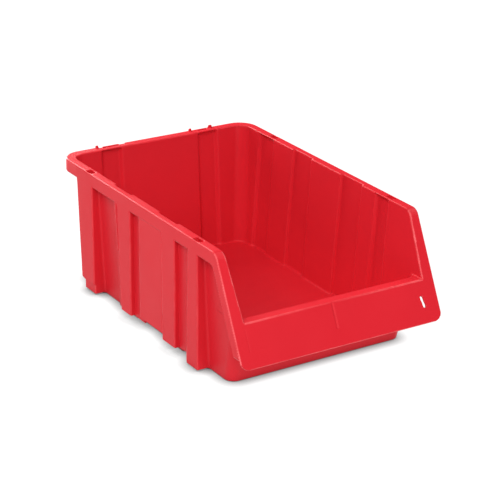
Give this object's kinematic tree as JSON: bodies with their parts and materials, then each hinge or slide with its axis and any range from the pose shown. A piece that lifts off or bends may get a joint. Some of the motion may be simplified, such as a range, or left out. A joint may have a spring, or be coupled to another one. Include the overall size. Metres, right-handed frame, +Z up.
{
  "type": "stackable storage bin",
  "caption": "Open-fronted hopper bin with a sloping front frame, a low front panel, a stiffening rim with stacking notches and hollow ribbed side columns.",
  "frame": {"origin": "on the ground, in the middle of the overall width and length", "axes": "+X across the bin to the right as seen from the front, +Y from the open front to the back, +Z up"},
  "size_m": [0.31, 0.484, 0.183],
  "materials": {
    "plastic": "injection-moulded polypropylene, satin gloss, red"
  },
  "bodies": {
    "root": {"floor": "plastic", "back_wall": "plastic", "front_wall": "plastic", "front_lip": "plastic", "front_panel": "plastic", "rim_back": "plastic", "side_wall_left": "plastic", "side_wall_right": "plastic", "back_corner_left": "plastic", "back_corner_right": "plastic", "front_corner_left": "plastic", "front_corner_right": "plastic", "rim_left": "plastic", "rim_right": "plastic", "front_frame_left": "plastic", "front_frame_right": "plastic", "rear_post_left": "plastic", "rear_post_right": "plastic", "rear_pillar_left": "plastic", "rear_pillar_right": "plastic", "mid_panel_left": "plastic", "mid_panel_right": "plastic", "front_pillar_left": "plastic", "front_pillar_right": "plastic", "front_post_left": "plastic", "front_post_right": "plastic", "back_post_left": "plastic", "back_post_right": "plastic", "back_coupling_left": "plastic", "back_coupling_right": "plastic"}
  },
  "joints": []
}
